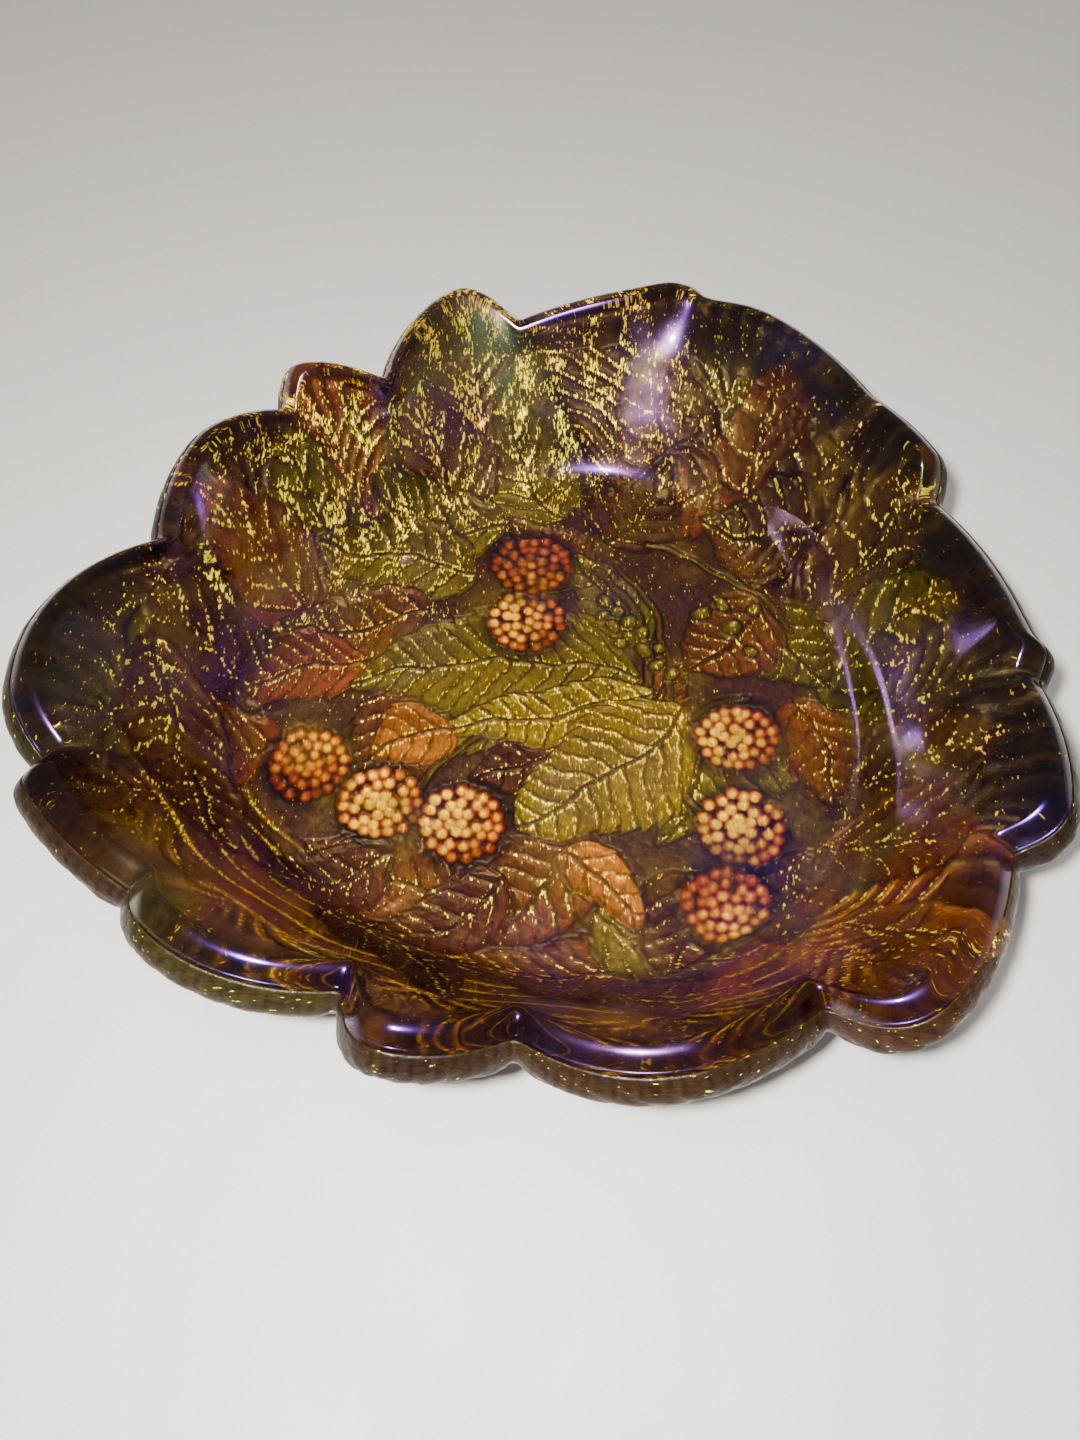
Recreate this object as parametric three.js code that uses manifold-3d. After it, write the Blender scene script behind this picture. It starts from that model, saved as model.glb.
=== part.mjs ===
// A three-sided pressed glass bowl with a rim of leaves and berries under its floor.
// Millimetres, +Z up. The bowl stands on z = 0 and the middle of its plan box is on the Z axis.
// Angles are degrees about the bowl's own centre, counter-clockwise from +X.
import Module from "manifold-3d";
import * as THREE from "three";
import { mergeVertices } from "three/addons/utils/BufferGeometryUtils.js";

const wasm = await Module();
wasm.setup();

// ---- Driving dimensions ----

const floorTop = 8.1;
const glassThickness = 5.5;
const floorUnderside = floorTop - glassThickness;

// The floor and the wall are round with three slight corners.
const cornerAngle = 72;
const floorReach = { mean: 62, corner: 3 };
const wallReach = { mean: 89, corner: 4.5 };
const wallCurve = 1.4;

// The lip: a thick rounded edge that falls outwards from the crest.
const crestOverLip = 5.5;
const lipWidth = 8;
const leafHeight = 41.5;
const meanLipHeight = 38;
const lobeCurve = 3;
const notchCurve = 1.5;

// The lip from the crest round to where it joins the outside of the wall, as [outwards, up] from the
// crest.
const lipProfile = [
  [2.4, 0.1],
  [5.6, -2.2],
  [lipWidth, -crestOverLip],
  [7.6, -8],
];

// The lustre films, drawn thicker than they are so that they can be made as solids.
const filmGap = 0.3;
const filmThickness = 0.2;

// Depths of the pressed relief on the outside. The berries reach down past the plane that the bowl
// stands on, where they are ground flat.
const wallLeafDepth = 1.6;
const wallLeafCurve = 2;
const wallLeafStart = 0.15;
const wallLeafFull = 0.6;
const midribDepth = 0.7;
const midribSharpness = 8;
const berryWidth = 21;
const berryDepth = 3.3;
const floorLeafDepth = 1.3;

// Where the berries are ground flat the outer film is open, up to this height.
const filmStopsAt = 0.6;

// The leaves of the rim. Each starts at a notch, swells to its tip and falls to the next leaf's notch:
// [angle, distance from the centre] of both, how fully it swells and falls, and how far the notch dips.
const rimLeaves = [
  { notch: [21.7, 93.4], tip: [26, 96.6], swell: 2, fall: 1, dip: 7 },
  { notch: [40.3, 99.5], tip: [60, 104.6], swell: 1.2, fall: 1, dip: 3 },
  { notch: [69.6, 106.5], tip: [72, 110.5], swell: 2, fall: 0.45, dip: 4 },
  { notch: [95.4, 96], tip: [103, 101.8], swell: 2, fall: 1.6, dip: 7 },
  { notch: [119.4, 84.5], tip: [131, 94.6], swell: 1.4, fall: 2, dip: 6 },
  { notch: [135.5, 91.2], tip: [149, 94.6], swell: 2, fall: 2, dip: 7 },
  { notch: [165.4, 91.3], tip: [191, 109.4], swell: 2.6, fall: 1.8, dip: 7 },
  { notch: [198.5, 105.5], tip: [202.5, 108.6], swell: 2, fall: 1.2, dip: 7 },
  { notch: [218.6, 99.5], tip: [224, 101.4], swell: 2, fall: 1.7, dip: 4 },
  { notch: [244.6, 88.3], tip: [252, 96.8], swell: 2.4, fall: 1.6, dip: 7 },
  { notch: [265.3, 89.1], tip: [284, 98.4], swell: 1.9, fall: 1.5, dip: 5 },
  { notch: [299.5, 94.9], tip: [308.5, 107], swell: 2.8, fall: 1.4, dip: 7 },
  { notch: [328.2, 100.8], tip: [333.5, 106.4], swell: 2.4, fall: 1.3, dip: 7 },
  { notch: [350.5, 99], tip: [354, 100], swell: 1.5, fall: 0.35, dip: 4 },
];

// Berries and leaves under the floor, as [x, y] from the bowl's centre.
const berries = [
  [-6, 26],
  [-5, 43],
  [-55, -14],
  [-38, -24],
  [-20, -29],
  [42, -7],
  [41, -30],
  [36, -48],
];
const floorLeaves = [
  { stalk: [20, 10], end: [-48, 8], width: 24 },
  { stalk: [30, -2], end: [-9, -29], width: 27 },
  { stalk: [-24, -4], end: [-41, -16], width: 14 },
];

// How finely the surfaces are divided.
const degreesPerColumn = 5.8;
const wallSteps = [0.2, 0.4, 0.6, 0.78, 0.91, 1];
const floorSteps = [0.5, 1];
const fewestColumns = 2;
const undersideShares = [0.9, 0.45];
const reliefSides = 12;

// ---- The plan of the rim ----

const ease = (along, fullness) => 1 - (1 - along) ** fullness;

const threeCornered = (reach, angle) =>
  reach.mean + reach.corner * Math.cos(THREE.MathUtils.degToRad(3 * (angle - cornerAngle)));

function leafAt(angle) {
  const first = rimLeaves[0].notch[0];
  const turned = THREE.MathUtils.euclideanModulo(angle - first, 360) + first;
  const index = rimLeaves.findLastIndex((leaf) => leaf.notch[0] <= turned);
  const next = rimLeaves[(index + 1) % rimLeaves.length];
  const end = next.notch[0] + (index + 1 === rimLeaves.length ? 360 : 0);
  return { leaf: rimLeaves[index], next, end, turned };
}

// The outermost line of the lip at an angle, and how far across its leaf that is, 0 at both notches
// and 1 at the tip.
function lipAt(angle) {
  const { leaf, next, end, turned } = leafAt(angle);
  const rising = turned <= leaf.tip[0];
  const notch = rising ? leaf.notch : [end, next.notch[1]];
  const { dip } = rising ? leaf : next;
  const across = (turned - notch[0]) / (leaf.tip[0] - notch[0]);
  const reach = THREE.MathUtils.lerp(
    notch[1],
    leaf.tip[1],
    ease(across, rising ? leaf.swell : leaf.fall),
  );
  return { reach, height: leafHeight - dip * (1 - ease(across, notchCurve)), across };
}

function columnAngles() {
  const angles = [];
  for (const [index, leaf] of rimLeaves.entries()) {
    const after = rimLeaves[index + 1]?.notch[0] ?? rimLeaves[0].notch[0] + 360;
    for (const [from, to] of [[leaf.notch[0], leaf.tip[0]], [leaf.tip[0], after]]) {
      const count = Math.max(fewestColumns, Math.round((to - from) / degreesPerColumn));
      for (let step = 0; step < count; step += 1) {
        angles.push(THREE.MathUtils.lerp(from, to, step / count));
      }
    }
  }
  return angles;
}

// ---- The section at one angle, as Vector2(distance from the centre, height) ----

// The inside of the wall, from the floor's edge at 0 to the crest of the rim at 1.
function insideOfWall(angle, along) {
  const lip = lipAt(angle);
  const floorEdge = threeCornered(floorReach, angle);
  const wall = threeCornered(wallReach, angle);
  const meanCrest = meanLipHeight + crestOverLip;
  const lobes = along ** lobeCurve;
  return new THREE.Vector2(
    THREE.MathUtils.lerp(floorEdge, wall, along) + (lip.reach - lipWidth - wall) * lobes,
    floorTop + (meanCrest - floorTop) * along ** wallCurve + (lip.height - meanLipHeight) * lobes,
  );
}

// The direction out of the glass through its outside, square to the wall.
function outwards(angle, along) {
  const step = 0.02;
  const run = insideOfWall(angle, Math.min(along + step, 1));
  run.sub(insideOfWall(angle, Math.max(along - step, 0))).normalize();
  return new THREE.Vector2(run.y, -run.x);
}

// How far the leaf on the outside of the wall stands out, most along its midrib.
function wallRelief(angle, along) {
  const { across } = lipAt(angle);
  const rise = THREE.MathUtils.smoothstep(along, wallLeafStart, wallLeafFull);
  const leafBulge = wallLeafDepth * ease(across, wallLeafCurve);
  return rise * (leafBulge + midribDepth * across ** midribSharpness);
}

function lipPoints(angle) {
  const crest = insideOfWall(angle, 1);
  return lipProfile.map(([out, up]) => new THREE.Vector2(crest.x + out, crest.y + up));
}

function outsideOfWall(angle, along) {
  const depth = glassThickness + wallRelief(angle, along);
  return insideOfWall(angle, along).addScaledVector(outwards(angle, along), depth);
}

// ---- Rings: each is one Vector3 per column, all the way round ----

const columns = columnAngles();

// pointAt(angle) gives the section's point.
function ring(pointAt) {
  return columns.map((angle) => {
    const { x, y } = pointAt(angle);
    const turn = THREE.MathUtils.degToRad(angle);
    return new THREE.Vector3(x * Math.cos(turn), x * Math.sin(turn), y);
  });
}

function insideRings() {
  const floor = floorSteps.map((share) =>
    ring((angle) => new THREE.Vector2(share * threeCornered(floorReach, angle), floorTop)),
  );
  return [...floor, ...wallSteps.map((along) => ring((angle) => insideOfWall(angle, along)))];
}

const lipRings = () => lipProfile.map((_, index) => ring((angle) => lipPoints(angle)[index]));

// From under the lip down to the floor.
function outsideRings() {
  const downwards = wallSteps.slice(0, -2).reverse();
  return downwards.map((along) => ring((angle) => outsideOfWall(angle, along)));
}

// From the foot of the wall in towards the centre.
function undersideRings() {
  const edge = (angle, share) => share * threeCornered(floorReach, angle);
  return undersideShares.map((share) =>
    ring((angle) => new THREE.Vector2(edge(angle, share), floorUnderside)),
  );
}

// ---- Closed surfaces from rings ----

// Faces that join two rings, given by the numbers of their first points. They face out when the section
// runs from here to there with the glass on its right.
function strip(here, there) {
  return columns.flatMap((_, column) => {
    const next = (column + 1) % columns.length;
    return [here + column, there + column, there + next, here + column, there + next, here + next];
  });
}

// Faces that close a ring with a middle point, facing up.
const fan = (middlePoint, start) =>
  columns.flatMap((_, column) => [
    middlePoint,
    start + column,
    start + ((column + 1) % columns.length),
  ]);

const turnedOver = (faces) => faces.toReversed();

const onAxis = (height) => new THREE.Vector3(0, 0, height);

const startOf = (row) => row * columns.length;

const stripsOf = (rings, firstRow = 0) =>
  rings.slice(1).flatMap((_, row) => strip(startOf(firstRow + row), startOf(firstRow + row + 1)));

function surface(points, faces) {
  return new THREE.BufferGeometry().setFromPoints(points).setIndex(faces);
}

// A solid whose section runs from the axis on the inside round to the axis on the underside.
function solidOf(rings, topMiddle, bottomMiddle) {
  const points = [...rings.flat(), topMiddle, bottomMiddle];
  const top = points.length - 2;
  const bottom = points.length - 1;
  const underside = turnedOver(fan(bottom, startOf(rings.length - 1)));
  return surface(points, [...fan(top, 0), ...stripsOf(rings), ...underside]);
}

// The outward normals of an open run of rings, one per point.
function normalsOf(rings) {
  const open = surface(rings.flat(), stripsOf(rings));
  open.computeVertexNormals();
  const normals = open.getAttribute("normal");
  return rings.flat().map((_, index) => new THREE.Vector3().fromBufferAttribute(normals, index));
}

const lifted = (rings, distance) => {
  const normals = normalsOf(rings);
  return rings.map((points, row) =>
    points.map((point, column) =>
      point.clone().addScaledVector(normals[startOf(row) + column], distance),
    ),
  );
};

// A film over a run of rings that starts at a middle point facing up.
function filmOver(rings, topMiddle) {
  const far = lifted(rings, filmGap + filmThickness);
  const near = lifted(rings, filmGap);
  const middles = [topMiddle.z + filmGap + filmThickness, topMiddle.z + filmGap].map(onAxis);
  const points = [...far.flat(), ...near.flat(), ...middles];
  const nearStart = startOf(rings.length);
  return surface(points, [
    ...fan(points.length - 2, 0),
    ...stripsOf(rings),
    ...strip(nearStart - columns.length, 2 * nearStart - columns.length),
    ...turnedOver(stripsOf(rings, rings.length)),
    ...turnedOver(fan(points.length - 1, nearStart)),
  ]);
}

// ---- Booleans ----

function solidFrom(geometry) {
  const bare = geometry.clone();
  bare.deleteAttribute("normal");
  bare.deleteAttribute("uv");
  const merged = mergeVertices(bare, 1e-3);
  return new wasm.Manifold(
    new wasm.Mesh({
      numProp: 3,
      vertProperties: merged.getAttribute("position").array,
      triVerts: new Uint32Array(merged.index.array),
    }),
  );
}

function geometryFrom(solid) {
  const { vertProperties, triVerts } = solid.getMesh();
  const geometry = new THREE.BufferGeometry();
  geometry.setAttribute("position", new THREE.BufferAttribute(vertProperties, 3));
  return geometry.setIndex(new THREE.BufferAttribute(triVerts, 1));
}

const joined = (solids) => solids.reduce((whole, solid) => whole.add(solid));

const largestBody = (solid) => solid.decompose().sort((a, b) => b.volume() - a.volume())[0];

// Everything below a height.
function below(height) {
  const size = 400;
  return solidFrom(new THREE.BoxGeometry(size, size, size).translate(0, 0, height - size / 2));
}

// ---- The relief under the floor, each made larger all over by the distance grown ----

// A swelling with an oval plan, turned by an angle in radians.
function swelling({ x, y, length, width, depth, turn = 0 }, grown) {
  const ball = new THREE.SphereGeometry(1, reliefSides, reliefSides / 2).rotateX(Math.PI / 2);
  ball.scale(length / 2 + grown, width / 2 + grown, depth + grown).rotateZ(turn);
  return solidFrom(ball.translate(x, y, floorUnderside));
}

const berry = ([x, y]) => ({ x, y, length: berryWidth, width: berryWidth, depth: berryDepth });

function leaf({ stalk, end, width }) {
  const rib = new THREE.Vector2(...end).sub(new THREE.Vector2(...stalk));
  const [x, y] = [0, 1].map((axis) => (stalk[axis] + end[axis]) / 2);
  return { x, y, length: rib.length(), width, depth: floorLeafDepth, turn: rib.angle() };
}

const relief = (grown) =>
  [...berries.map(berry), ...floorLeaves.map(leaf)].map((shape) => swelling(shape, grown));

// ---- The pieces ----

function glassBowl() {
  const rings = [...insideRings(), ...lipRings(), ...outsideRings(), ...undersideRings()];
  const plain = solidOf(rings, onAxis(floorTop), onAxis(floorUnderside));
  return geometryFrom(joined([solidFrom(plain), ...relief(0)]).subtract(below(0)));
}

// Over the floor, the wall and the lip, to the lip's outermost line.
function lustreInside() {
  return filmOver([...insideRings(), ...lipRings().slice(0, -1)], onAxis(floorTop));
}

// From under the lip down the wall and over the underside, open where the berries stand on the table.
function lustreOutside() {
  const rings = [...lipRings().slice(-2), ...outsideRings(), ...undersideRings()];
  const filled = (distance, lidHeight) => {
    const grown = lifted(rings, distance).slice(1);
    const plain = solidOf(grown, onAxis(lidHeight), onAxis(floorUnderside - distance));
    return joined([solidFrom(plain), ...relief(distance)]);
  };
  const lid = 2 * leafHeight;
  const film = filled(filmGap + filmThickness, lid).subtract(filled(filmGap, 2 * lid));
  return geometryFrom(largestBody(film.subtract(below(filmStopsAt))));
}

function amberGlass() {
  return new THREE.MeshStandardMaterial({ color: 0x4a2a12, roughness: 0.08, metalness: 0 });
}

function lustre(color) {
  return new THREE.MeshStandardMaterial({ color, roughness: 0.25, metalness: 0.7 });
}

function piece(name, geometry, material) {
  const mesh = new THREE.Mesh(geometry, material);
  mesh.name = name;
  return mesh;
}

const bowl = new THREE.Group();
bowl.add(
  piece("glass_bowl", glassBowl(), amberGlass()),
  piece("lustre_inside", lustreInside(), lustre(0x7a5a8c)),
  piece("lustre_outside", lustreOutside(), lustre(0xa8741e)),
);

// The leaves reach out unevenly, so the bowl's centre is a little off the middle of its box.
const middle = new THREE.Box3().setFromObject(bowl).getCenter(new THREE.Vector3());
bowl.position.set(-middle.x, -middle.y, 0);

export default bowl;
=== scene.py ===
"""The looks of a three-sided carnival glass bowl: amber pressed glass with a rim of leaves, berries and
leaves in relief on the outside, and an iridescent lustre on both sides.

The shape is worked out in millimetres about the bowl's own centre, with angles in degrees
counter-clockwise from +X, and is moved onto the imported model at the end.
"""

import math

import bpy
import numpy as np
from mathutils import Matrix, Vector


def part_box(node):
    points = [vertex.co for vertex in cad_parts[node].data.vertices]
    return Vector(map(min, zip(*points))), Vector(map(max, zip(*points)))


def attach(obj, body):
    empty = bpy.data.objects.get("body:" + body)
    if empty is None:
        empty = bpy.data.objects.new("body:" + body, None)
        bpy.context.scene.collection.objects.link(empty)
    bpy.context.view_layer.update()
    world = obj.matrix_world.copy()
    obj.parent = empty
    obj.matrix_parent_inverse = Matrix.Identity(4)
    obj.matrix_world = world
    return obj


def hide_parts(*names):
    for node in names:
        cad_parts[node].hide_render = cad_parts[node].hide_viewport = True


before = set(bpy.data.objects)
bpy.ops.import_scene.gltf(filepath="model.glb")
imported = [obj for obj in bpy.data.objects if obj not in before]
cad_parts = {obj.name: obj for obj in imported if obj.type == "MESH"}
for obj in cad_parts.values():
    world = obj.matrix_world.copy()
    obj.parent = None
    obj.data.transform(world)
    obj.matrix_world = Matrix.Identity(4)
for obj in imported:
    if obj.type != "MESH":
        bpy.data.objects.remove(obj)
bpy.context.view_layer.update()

MM = 0.001

# ---- Driving dimensions of the glass, in millimetres ----

FLOOR_TOP = 8.1
GLASS_THICKNESS = 5.5
FLOOR_UNDERSIDE = FLOOR_TOP - GLASS_THICKNESS
CORNER_ANGLE = 72
# Mean distance from the centre, and how much further the three corners reach.
FLOOR_REACH = (62, 3)
WALL_REACH = (89, 4.5)
WALL_CURVE = 1.4
COVE_CURVE = 2
CREST_OVER_LIP = 5.5
LIP_WIDTH = 8
LEAF_HEIGHT = 41.5
MEAN_LIP_HEIGHT = 38
LOBE_CURVE = 3
NOTCH_CURVE = 1.5
# How far out and up from the crest the lip's outline passes.
LIP_PROFILE = [(2.4, 0.1), (5.6, -2.2), (LIP_WIDTH, -CREST_OVER_LIP), (7.6, -8)]
LIP_MEETS_WALL = 0.8

# The rim's leaves: angle and reach of the notch where each starts and of its tip, how fully it swells
# and falls, and how far its notch dips.
RIM_LEAVES = np.array(
    [
        (21.7, 93.4, 26, 96.6, 2, 1, 7),
        (40.3, 99.5, 60, 104.6, 1.2, 1, 3),
        (69.6, 106.5, 72, 110.5, 2, 0.45, 4),
        (95.4, 96, 103, 101.8, 2, 1.6, 7),
        (119.4, 84.5, 131, 94.6, 1.4, 2, 6),
        (135.5, 91.2, 149, 94.6, 2, 2, 7),
        (165.4, 91.3, 191, 109.4, 2.6, 1.8, 7),
        (198.5, 105.5, 202.5, 108.6, 2, 1.2, 7),
        (218.6, 99.5, 224, 101.4, 2, 1.7, 4),
        (244.6, 88.3, 252, 96.8, 2.4, 1.6, 7),
        (265.3, 89.1, 284, 98.4, 1.9, 1.5, 5),
        (299.5, 94.9, 308.5, 107, 2.8, 1.4, 7),
        (328.2, 100.8, 333.5, 106.4, 2.4, 1.3, 7),
        (350.5, 99, 354, 100, 1.5, 0.35, 4),
    ]
)
NOTCH_ANGLE, NOTCH_REACH, TIP_ANGLE, TIP_REACH, SWELL, FALL, DIP = RIM_LEAVES.T

# How many columns of the outline the rounding takes in: at the lip, at the sharpest corner of the
# outline, and where the wall starts to turn into the lip.
LIP_ROUNDING = 1
CORNER_ROUNDING = 5
WALL_ROUNDING = 12
CORNER_SPAN = 5

# ---- The relief on the outside, in millimetres, with places as (x, y) from the bowl's centre ----

# Leaves under the floor and on the wall. Widths of veins are shares of their spacing.
VEIN_SPACING = 5
VEIN_SLANT = 0.8
VEIN_WIDTH = 0.05
VEIN_DEPTH = 0.4
# How strongly painted gold glints line the veins.
VEIN_GLINTS = 0.75
MIDRIB_WIDTH = 0.4
LEAF_FULLNESS = 0.75
LEAF_EDGE = 0.8
TOOTH_DEPTH = 0.12
TOOTH_SLANT = 0.6
LEAF_FOOT = 0.45
LEAF_RISE = 1.0
LEAF_ROUNDING = 2.2
LEAF_PILLOW = 0.2

# The leaves that make the rim. Angles turn into lengths at these distances from the centre.
RIM_LEAF_DISTANCE = 90
LIP_DISTANCE = 95
RIM_LEAF_LENGTH = 48
RIM_LEAF_NARROWING = 0.75
RIM_VEIN_SPACING = 4.2
RIM_VEIN_SLANT = 1.1
RIM_VEIN_BEND = 0.018
RIM_VEIN_WIDTH = 0.09
RIM_VEIN_DEPTH = 0.35
RIM_MIDRIB_WIDTH = 0.6
RIM_LEAF_FOOT = 0.5
RIM_LEAF_RISE = 0.7
RIM_LEAF_PILLOW = 0.25
RIM_LEAF_COLOURS = ["brown", "olive", "dark", "brown", "rust", "dark", "olive"]
LIP_RIDGE_SPACING = 2.2

# The long veins round the near wall, either side of this angle.
NEAR_ANGLE = 252
SWEEP_SPACING = 3.4
SWEEP_VEIN_WIDTH = 0.1
SWEEP_LENGTH_UP_WALL = 26
SWEEP_TILT = 0.13
SWEEP_FOOT = 0.7
SWEEP_RISE = 0.12

STEM_FOOT = 0.4
STEM_RISE = 0.9
BUD_RISE = 0.6
SURFACE_RIPPLE = 0.06

# Berries. The bead power below sets how fast each bead's painted highlight falls off into painted shade
# towards its edge.
BERRY_RADIUS = 10.5
BERRY_RISE = 1.8
BEAD_SPACING = 2.85
BEAD_RADIUS = 0.62 * BEAD_SPACING
BEAD_RISE = 0.9
BEAD_RINGS = 4
BEAD_SHADE_POWER = 1.9

# How much darker the wall is than the floor, how much more so on the right, and how many times
# larger than the ripples the clumps of painted gold glints are.
WALL_DARKENING = 0.55
RIGHT_DARKENING = 0.22
CLUMP_SIZE = 3.5

# Centre, how strong its painted highlight is, and where in it the painted highlight is brightest.
BERRIES = [
    ((-6, 26), 1.0, (-5, 2)),
    ((-5, 43), 0.45, (0, -4)),
    ((-55, -14), 0.7, (2, 5)),
    ((-38, -24), 1.1, (-1, 0)),
    ((-20, -29), 1.25, (-4, 3)),
    ((42, -7), 1.1, (-3, 0)),
    ((41, -30), 1.2, (-2, 2)),
    ((36, -48), 0.7, (2, -4)),
]

# Centre and radius.
BUDS = [
    ((12, 31), 2.0),
    ((15.5, 28), 1.8),
    ((12.5, 26.5), 1.7),
    ((19, 26), 1.9),
    ((15.5, 23.5), 1.9),
    ((19, 21.5), 1.7),
    ((22.5, 22.5), 1.8),
    ((16.5, 19), 1.6),
    ((21.5, 17.5), 1.9),
    ((25.5, 18), 1.7),
    ((24, 13), 1.8),
    ((27.5, 10), 1.6),
    ((36, 27), 2.2),
    ((41, 31), 1.9),
    ((44, 24), 2.3),
    ((49, 29), 1.8),
    ((47, 17), 1.9),
]

# Stalk, tip, widest width, sideways bend of the midrib and colour.
OUTER_LEAVES = [
    ((4, 58), (-12, 86), 24, 3, "olive"),
    ((28, 60), (24, 92), 26, -3, "brown"),
    ((52, 54), (58, 80), 24, 3, "rust"),
    ((-22, 54), (-40, 78), 24, -4, "brown"),
    ((-46, 42), (-66, 62), 22, 4, "olive"),
    ((-58, 24), (-84, 40), 24, -4, "rust"),
    ((-62, 6), (-92, 22), 24, 4, "dark"),
    ((-62, -8), (-94, -8), 22, 4, "rust"),
    ((62, 26), (84, 46), 24, -4, "brown"),
    ((62, 6), (90, 10), 24, 4, "olive"),
    ((62, -16), (92, -22), 24, -4, "brown"),
    ((58, -36), (82, -52), 24, 4, "rust"),
    ((48, 36), (78, 60), 20, 4, "dark"),
    ((58, -60), (80, -70), 18, -3, "brown"),
]
FLOOR_LEAVES = [
    ((-20, -44), (-54, -34), 22, 3, "brown"),
    ((-30, 8), (-46, -24), 24, 3, "brown"),
    ((-4, 2), (-34, -10), 20, -2, "olive"),
    ((22, -62), (-22, -64), 20, 3, "brown"),
    ((8, -50), (40, -64), 20, -3, "olive"),
    ((34, -14), (62, -14), 22, 2, "olive"),
    ((20, -20), (30, 14), 20, 3, "brown"),
    ((10, 38), (-10, 58), 20, 3, "brown"),
    ((24, 20), (6, 46), 16, 2, "olive"),
    ((44, 66), (10, 62), 22, 3, "rust"),
    ((12, 50), (30, 74), 22, -3, "dark"),
    ((66, 44), (38, 58), 20, 2, "brown"),
    ((-12, 56), (-46, 60), 24, 4, "olive"),
    ((-18, 40), (-58, 44), 24, -4, "olive"),
    ((-30, 30), (-66, 24), 22, 4, "brown"),
    ((-44, 14), (-74, 4), 20, -3, "rust"),
    ((-34, -36), (-64, -46), 18, 3, "dark"),
    ((52, 30), (66, 6), 22, -3, "olive"),
    ((56, 2), (62, -26), 20, 3, "rust"),
    ((54, -36), (48, -62), 22, -2, "dark"),
    ((28, -40), (22, -66), 22, 3, "dark"),
    ((10, -34), (-12, -58), 22, -3, "brown"),
    ((-10, -42), (-38, -58), 18, 3, "dark"),
    ((52, 36), (30, 10), 22, 4, "brown"),
    ((2, -8), (-18, -18), 18, 2, "dark"),
    ((34, -10), (22, -34), 16, 3, "olive"),
    ((20, 10), (-48, 8), 30, -5, "olive"),
    ((24, 5), (-27, -4), 15, 2, "gold"),
    ((31, 0), (-10, -30), 29, 3, "gold"),
    ((-23, -4), (-42, -13), 16, -2, "tan"),
    ((2, -35), (17, -54), 13, 2, "tan"),
]
LEAVES_OVER_STEMS = 5  # the last ones of the list
WALL_LEAVES = [
    ((-88, 6), (-66, -44), 17, -4, "brown"),
    ((-50, -52), (-18, -80), 15, 4, "dark"),
    ((0, -68), (40, -74), 14, -4, "brown"),
]

# The points that each stem runs through, and its width.
STEMS = [
    ([(12, 40), (22, 24), (22, 6), (26, -12), (34, -36)], 2.4),
    ([(17, 42), (26, 26), (27, 8), (29, -8)], 1.6),
    ([(58, 22), (50, 33), (37, 43), (24, 50)], 1.7),
    ([(22, 6), (8, 2), (-10, -4), (-24, -12), (-30, -22)], 1.8),
    ([(26, -12), (36, 0), (46, 4)], 1.8),
]

# How much of the scattered painted gold glints lies on leaves of the darker colours, and how much
# more there is on gold ones.
LEAF_GLINT_SHARE = {"dark": 0.3, "rust": 0.4, "brown": 0.7}
GOLD_LEAF_SHINE = 0.25

COLOURS = {
    "ground": (0.03, 0.012, 0.01),
    # The gap colour is painted shade: in vein grooves, between beads and round leaves, stems and buds.
    "gap": (0.004, 0.0015, 0.002),
    # The lip's painted shadow.
    "lip_shadow": (0.022, 0.012, 0.006),
    "dark": (0.05, 0.015, 0.013),
    "brown": (0.1, 0.038, 0.012),
    "rust": (0.16, 0.04, 0.01),
    "tan": (0.3, 0.12, 0.012),
    "olive": (0.11, 0.1, 0.007),
    "gold": (0.2, 0.168, 0.004),
    # A painted gold highlight on one flank of a vein.
    "gilt_glint": (0.7, 0.42, 0.02),
    # From here to yellow, a bead's colours run from its painted shade to its painted highlight.
    "shaded_red": (0.06, 0.006, 0.004),
    "red": (0.2, 0.028, 0.0),
    "orange": (0.45, 0.165, 0.0),
    "yellow": (1.0, 0.74, 0.01),
}

# How brightly a bead is painted lit where each of its colours lies, from painted shade to painted
# highlight.
BERRY_BRIGHTNESS_STOPS = (0, 0.2, 0.42, 0.65, 1.0)
BERRY_COLOURS = ("gap", "shaded_red", "red", "orange", "yellow")

# The colours of the painted gold glints of the lustre, and what clouds the lustre between them.
GLINT_GOLDS = [(0.35, (0.82, 1.0, 0.03)), (0.5, (1.0, 1.0, 0.08)), (0.65, (1.0, 0.83, 0.05))]
RED_CLOUD = (0.04, 0.013, 0.006)
OLIVE_CLOUD = (0.1, 0.075, 0.006)

# The film on the inside runs from blue through violet and rose to green.
FILM_COLOURS = [
    (0.34, (0.1, 0.12, 1.0)),
    (0.45, (0.35, 0.14, 1.0)),
    (0.54, (0.75, 0.35, 1.0)),
    (0.62, (1.0, 0.75, 0.6)),
    (0.7, (0.6, 1.0, 0.6)),
]

# Where the film on the inside is thicker or thinner: centre, radius and by how much.
FILM_PATCHES = [
    ((45, -55, 12), 40, 0.9),
    ((-14, 78, 35), 30, 1.3),
    ((-55, 5, 12), 20, 0.8),
    ((68, 12, 20), 55, -1.0),
]

# ---- The two lustres' thicknesses and places, in millimetres ----

SKIN_DEPTH = 0.12
SKIN_THICKNESS = 0.05
LIP_SKIN_RISE = 0.08
FILM_GAP = 0.06
FILM_THICKNESS = 0.05

# ---- Camera, lights and floor, in metres and degrees; lens and sensor in millimetres ----

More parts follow.
